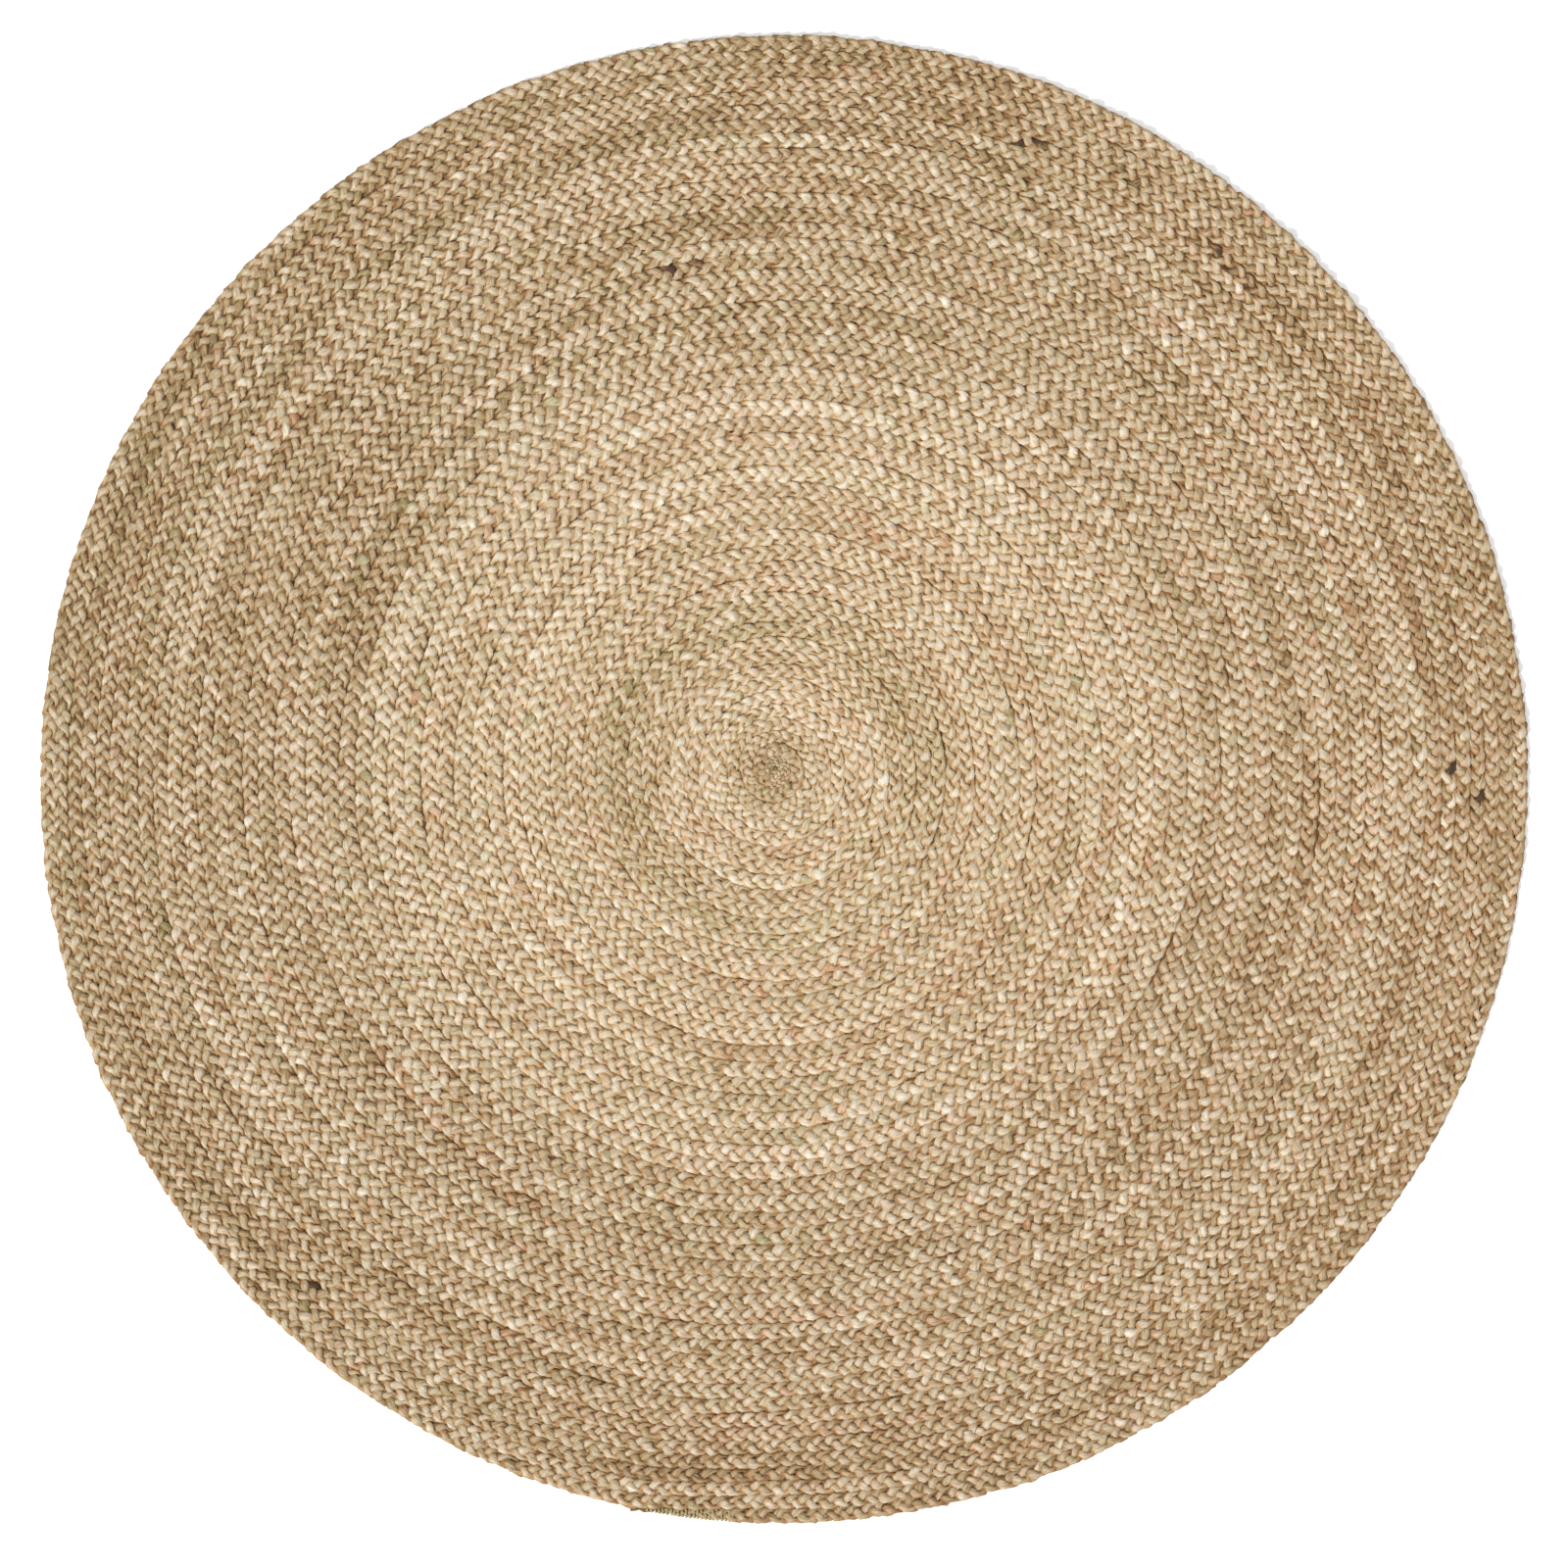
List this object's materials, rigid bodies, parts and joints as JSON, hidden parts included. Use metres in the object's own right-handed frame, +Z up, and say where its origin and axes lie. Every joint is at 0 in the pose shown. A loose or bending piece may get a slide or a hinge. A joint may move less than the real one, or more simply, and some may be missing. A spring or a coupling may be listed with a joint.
{
  "type": "area rug",
  "caption": "Flat round area rug of natural jute: a three-strand braid wound in a spiral from a knotted eye and laced edge to edge, reversible.",
  "frame": {"origin": "centre of the rug's own box, on the floor that it lies on", "axes": "+Z up through the rug's thickness; the braid ends on the rim near -Y, and seen from above it winds outwards clockwise"},
  "size_m": [1.8276, 1.8262, 0.0095],
  "materials": {
    "jute_straw": "pale straw-coloured raw jute, hand braided, matt with a faint dry sheen on the strands",
    "jute_honey": "honey-coloured raw jute, hand braided, matt",
    "jute_fawn": "browner raw jute from the root end of the plant, hand braided, matt",
    "jute_olive": "olive-green raw jute, thinned out and pressed flat, matt",
    "jute_twine": "two-ply spun jute twine, matt and slightly hairy"
  },
  "bodies": {
    "root": {"eye_knot": "jute_honey", "braid_length_01": "jute_straw", "braid_length_02": "jute_honey", "braid_length_03": "jute_fawn", "braid_length_04": "jute_straw", "braid_length_05": "jute_honey", "braid_length_06": "jute_fawn", "braid_length_07": "jute_straw", "braid_length_08": "jute_honey", "braid_length_09": "jute_fawn", "braid_length_10": "jute_straw", "braid_length_11": "jute_honey", "braid_length_12": "jute_fawn", "braid_length_13": "jute_straw", "braid_length_14": "jute_honey", "braid_tail": "jute_olive", "tail_whipping": "jute_twine", "lacing_thread_1": "jute_twine", "lacing_thread_2": "jute_twine", "lacing_thread_3": "jute_twine", "lacing_thread_4": "jute_twine", "lacing_thread_5": "jute_twine", "lacing_thread_6": "jute_twine"}
  },
  "joints": []
}
